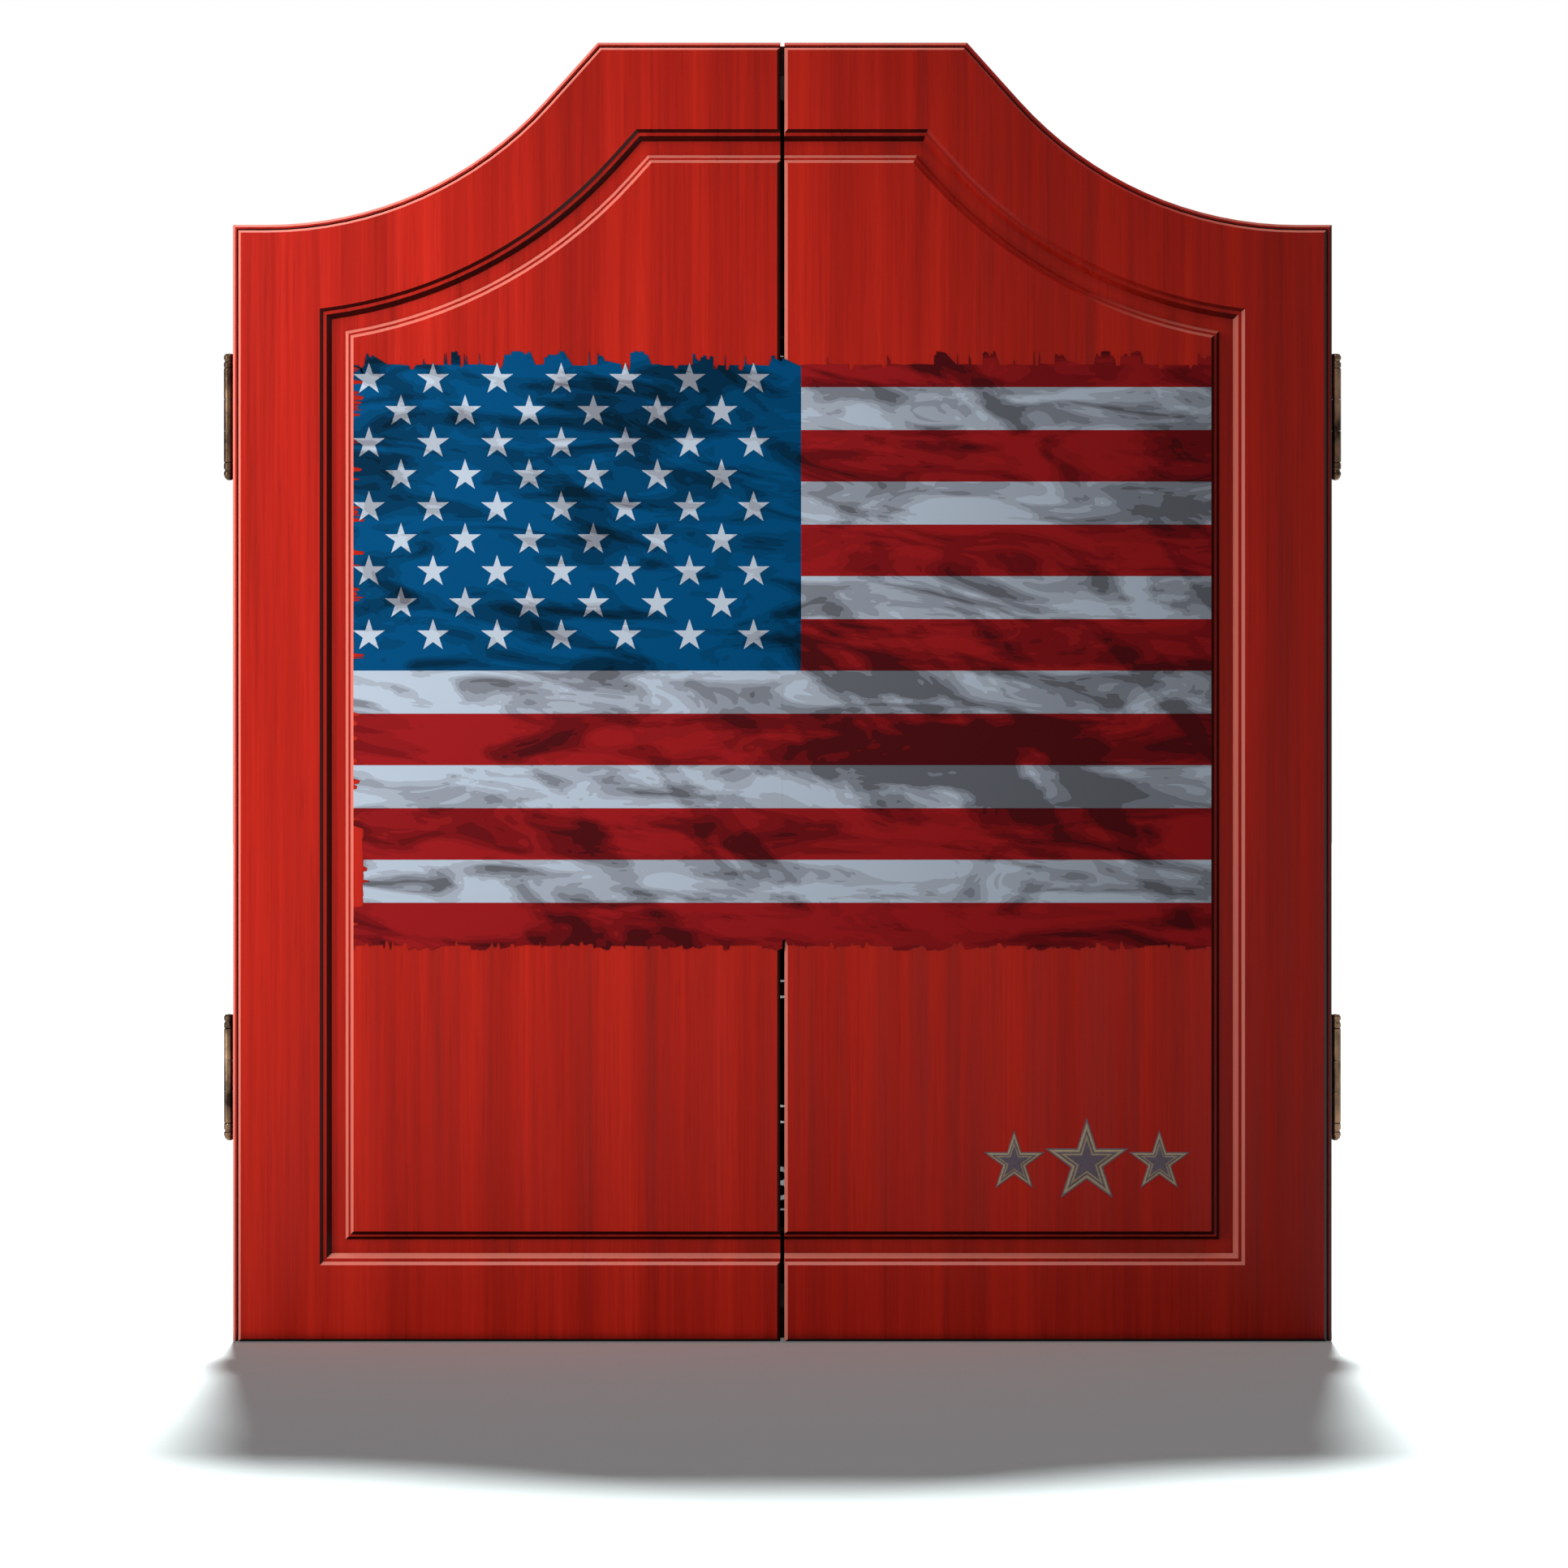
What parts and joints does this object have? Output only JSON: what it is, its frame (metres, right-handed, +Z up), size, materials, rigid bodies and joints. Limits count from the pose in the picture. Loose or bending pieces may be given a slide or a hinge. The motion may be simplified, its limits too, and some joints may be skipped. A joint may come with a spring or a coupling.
{
  "type": "dart board cabinet",
  "caption": "Wall cabinet with a crown-shaped top and paired swing doors that closes over a bristle dartboard, with scoreboards and dart racks on the doors.",
  "frame": {"origin": "on the wall face, on the cabinet's centre line, level with the bull's-eye of the dartboard", "axes": "+Y into the wall, so the doors face -Y; +X to the viewer's right; +Z up"},
  "size_m": [0.558, 0.0874, 0.645],
  "materials": {
    "cherry_doors": "satin lacquer over cherry-red stain",
    "cherry_box": "satin lacquer over cherry-red stain",
    "beech": "bare turned beech",
    "rack_wood": "satin lacquer, dark red",
    "antique_brass": "antique brass, brushed and darkened in the grooves",
    "zinc_screws": "zinc plated",
    "brass_screws": "antique brass",
    "black_felt": "short black felt",
    "bracket_steel": "zinc plated sheet",
    "catch_plastic": "moulded brown",
    "magnet": "ferrite with steel face",
    "bumper": "soft black",
    "slate": "matt chalk surface",
    "flag_print": "worn satin print",
    "star_print": "worn satin print",
    "fibre_board": "pressed fibre board",
    "sisal": "dyed sisal bristle",
    "band": "black painted band",
    "wire": "bright galvanised wire",
    "dart_left": "brass barrels, red flights",
    "dart_right": "brass barrels, blue flights"
  },
  "bodies": {
    "cabinet": {"back_panel": "cherry_box", "back_panel_screws": "zinc_screws", "backing_felt": "black_felt", "board_bracket": "bracket_steel", "bottom_panel": "cherry_box", "box_hinge_leaf_lower_left": "antique_brass", "box_hinge_leaf_lower_right": "antique_brass", "box_hinge_leaf_upper_left": "antique_brass", "box_hinge_leaf_upper_right": "antique_brass", "box_hinge_screws": "brass_screws", "bracket_screws": "zinc_screws", "catch_magnets": "magnet", "catch_screws": "zinc_screws", "crown_rail_left": "cherry_box", "crown_rail_right": "cherry_box", "frame_dowels": "beech", "hinge_pins_left": "antique_brass", "hinge_pins_right": "antique_brass", "lower_catch_housing": "catch_plastic", "lower_hanging_rail": "cherry_box", "side_panel_left": "cherry_box", "side_panel_right": "cherry_box", "top_panel": "cherry_box", "upper_catch_housing": "catch_plastic", "upper_hanging_rail": "cherry_box"},
    "left_door": {"door_panel_left": "cherry_doors", "door_hinge_leaf_lower_left": "antique_brass", "door_hinge_leaf_upper_left": "antique_brass", "scoreboard_left": "slate", "scoreboard_frame_left": "rack_wood", "dart_rack_left": "rack_wood", "strike_plates_left": "bracket_steel", "bumpers_left": "bumper", "door_screws_left": "zinc_screws", "flag_print_left": "flag_print"},
    "right_door": {"door_panel_right": "cherry_doors", "door_hinge_leaf_lower_right": "antique_brass", "door_hinge_leaf_upper_right": "antique_brass", "scoreboard_right": "slate", "scoreboard_frame_right": "rack_wood", "dart_rack_right": "rack_wood", "strike_plates_right": "bracket_steel", "bumpers_right": "bumper", "door_screws_right": "zinc_screws", "flag_print_right": "flag_print", "star_badge": "star_print"},
    "dartboard": {"board_backer": "fibre_board", "sisal_face": "sisal", "steel_band": "band", "wire_spider": "wire", "number_ring": "wire", "hanger_screw": "zinc_screws"},
    "left_dart_inner": {"dart_inner_left": "dart_left"},
    "left_dart_middle": {"dart_middle_left": "dart_left"},
    "left_dart_outer": {"dart_outer_left": "dart_left"},
    "right_dart_inner": {"dart_inner_right": "dart_right"},
    "right_dart_middle": {"dart_middle_right": "dart_right"},
    "right_dart_outer": {"dart_outer_right": "dart_right"}
  },
  "joints": [
    {"name": "left_door_hinge", "type": "hinge", "parent": "cabinet", "child": "left_door", "pos_m": [-0.27605, -0.0715, 0], "axis": [0, 0, -1], "range_deg": [0, 180]},
    {"name": "right_door_hinge", "type": "hinge", "parent": "cabinet", "child": "right_door", "pos_m": [0.27605, -0.0715, 0], "axis": [0, 0, 1], "range_deg": [0, 180]},
    {"name": "board_lift", "type": "slide", "parent": "cabinet", "child": "dartboard", "axis": [0, 0, 1], "range_m": [0, 0.014]},
    {"name": "left_dart_inner_lift", "type": "slide", "parent": "left_door", "child": "left_dart_inner", "axis": [0, 0, 1], "range_m": [0, 0.05]},
    {"name": "left_dart_middle_lift", "type": "slide", "parent": "left_door", "child": "left_dart_middle", "axis": [0, 0, 1], "range_m": [0, 0.05]},
    {"name": "left_dart_outer_lift", "type": "slide", "parent": "left_door", "child": "left_dart_outer", "axis": [0, 0, 1], "range_m": [0, 0.05]},
    {"name": "right_dart_inner_lift", "type": "slide", "parent": "right_door", "child": "right_dart_inner", "axis": [0, 0, 1], "range_m": [0, 0.05]},
    {"name": "right_dart_middle_lift", "type": "slide", "parent": "right_door", "child": "right_dart_middle", "axis": [0, 0, 1], "range_m": [0, 0.05]},
    {"name": "right_dart_outer_lift", "type": "slide", "parent": "right_door", "child": "right_dart_outer", "axis": [0, 0, 1], "range_m": [0, 0.05]}
  ]
}
